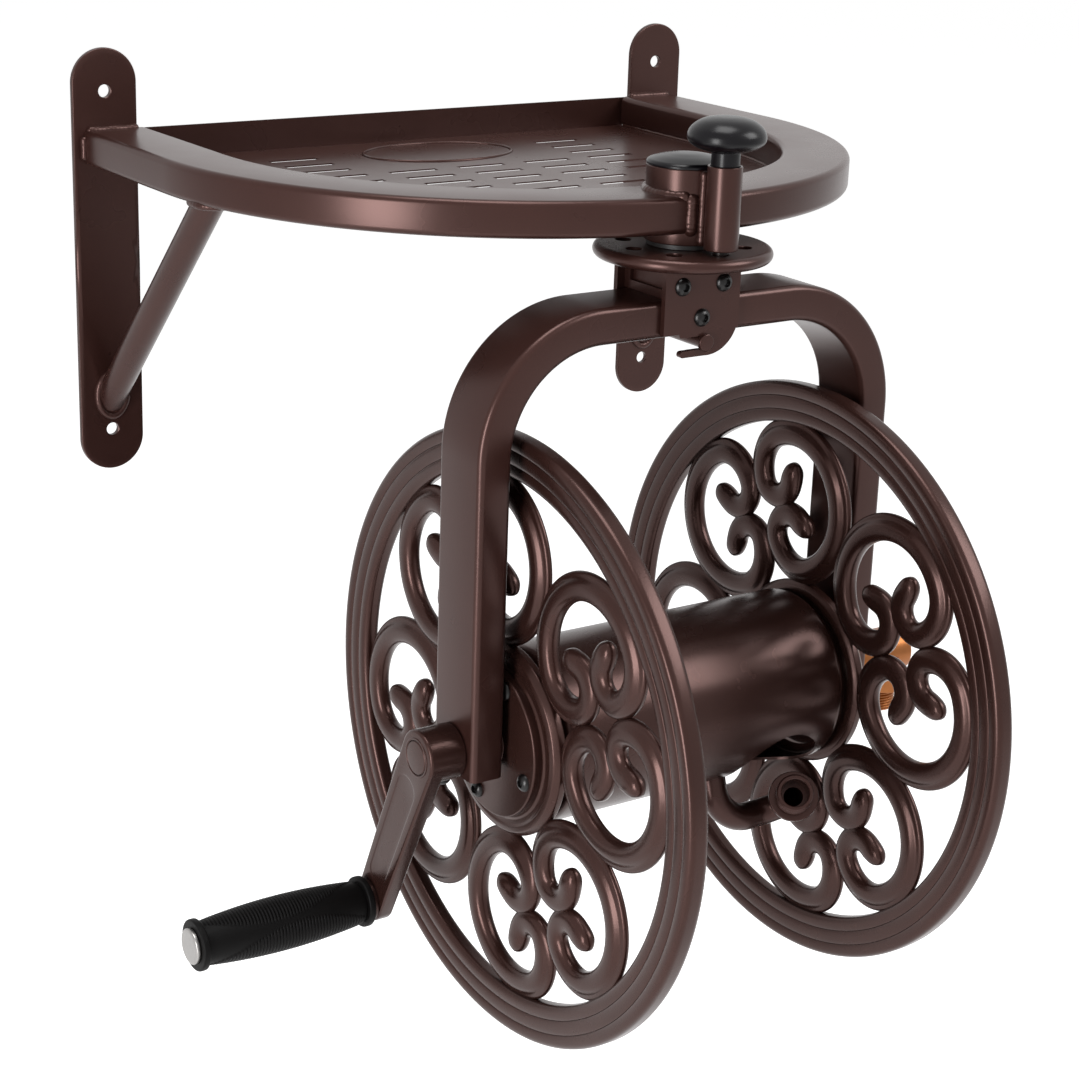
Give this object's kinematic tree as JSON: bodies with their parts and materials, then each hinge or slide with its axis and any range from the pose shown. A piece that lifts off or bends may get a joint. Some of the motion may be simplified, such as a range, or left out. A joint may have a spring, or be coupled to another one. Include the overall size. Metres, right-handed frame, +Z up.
{
  "type": "wall mounted hose reel",
  "caption": "Wall bracket with a slotted half-round shelf and a swivelling yoke that carries a crank-wound hose reel with cast scrollwork wheels, a brass water inlet and a hose outlet.",
  "frame": {"origin": "middle of the four wall bolts, on the wall face of the two straps", "axes": "+X along the wall to the right, +Y into the wall, +Z up"},
  "size_m": [0.6127, 0.5909, 0.6395],
  "materials": {
    "bronze_coat": "satin dark bronze powder coat on steel",
    "cast_coat": "satin dark bronze powder coat on cast aluminium",
    "black_plastic": "glossy black moulded plastic",
    "grip_rubber": "soft black ribbed rubber",
    "seal_rubber": "black sealing rubber",
    "black_screw": "black oxide screws",
    "zinc_steel": "bright zinc plate",
    "nylon": "black nylon bush",
    "brass": "bare brass"
  },
  "bodies": {
    "bracket": {"wall_plate_left": "bronze_coat", "wall_plate_right": "bronze_coat", "shelf_rail_left": "bronze_coat", "shelf_rail_right": "bronze_coat", "shelf_tray": "bronze_coat", "strut_left": "bronze_coat", "strut_right": "bronze_coat", "pivot_tube": "bronze_coat", "lock_tube": "bronze_coat", "weld_beads": "bronze_coat", "pivot_bush_lower": "nylon", "pivot_bush_upper": "nylon", "pivot_cap": "black_plastic", "lock_guide": "zinc_steel", "lock_stop_ring": "zinc_steel", "lock_spring": "zinc_steel"},
    "lock": {"lock_pin": "zinc_steel", "lock_knob": "black_plastic"},
    "swivel": {"index_disc": "bronze_coat", "pivot_shaft": "zinc_steel", "pivot_washer": "zinc_steel", "pivot_nut": "zinc_steel", "hanger_plate_front": "bronze_coat", "hanger_plate_rear": "bronze_coat", "hanger_block": "bronze_coat", "hanger_screws": "black_screw", "hook_bolt": "bronze_coat", "yoke": "bronze_coat", "arm_plug_left": "bronze_coat", "arm_plug_right": "bronze_coat", "axle_bush_left": "nylon", "axle_bush_right": "nylon", "bush_screws": "black_screw"},
    "reel": {"axle": "zinc_steel", "drum": "bronze_coat", "wheel_left": "cast_coat", "wheel_right": "cast_coat", "hub_plate_left": "cast_coat", "hub_plate_right": "cast_coat", "hub_screws": "black_screw", "outlet_pipe": "bronze_coat", "outlet_fitting": "bronze_coat", "crank_arm": "cast_coat", "crank_set_screw": "black_screw", "handle_rod": "zinc_steel"},
    "handle": {"grip": "grip_rubber"},
    "inlet": {"inlet_elbow": "brass", "inlet_ring": "seal_rubber"}
  },
  "joints": [
    {"name": "swivel_turn", "type": "hinge", "parent": "bracket", "child": "swivel", "pos_m": [0, -0.376, 0.0585], "axis": [0, 0, 1], "range_deg": [-90, 90]},
    {"name": "reel_spin", "type": "hinge", "parent": "swivel", "child": "reel", "pos_m": [0, -0.376, -0.2665], "axis": [1, 0, 0], "continuous": true},
    {"name": "grip_spin", "type": "hinge", "parent": "reel", "child": "handle", "pos_m": [-0.27, -0.31472, -0.39792], "axis": [1, 0, 0], "continuous": true},
    {"name": "lock_slide", "type": "slide", "parent": "bracket", "child": "lock", "axis": [0, 0, 1], "range_m": [-0.008, 0], "deforming": ["lock_spring"]},
    {"name": "inlet_turn", "type": "hinge", "parent": "swivel", "child": "inlet", "pos_m": [0.19, -0.376, -0.2665], "axis": [1, 0, 0], "continuous": true}
  ]
}
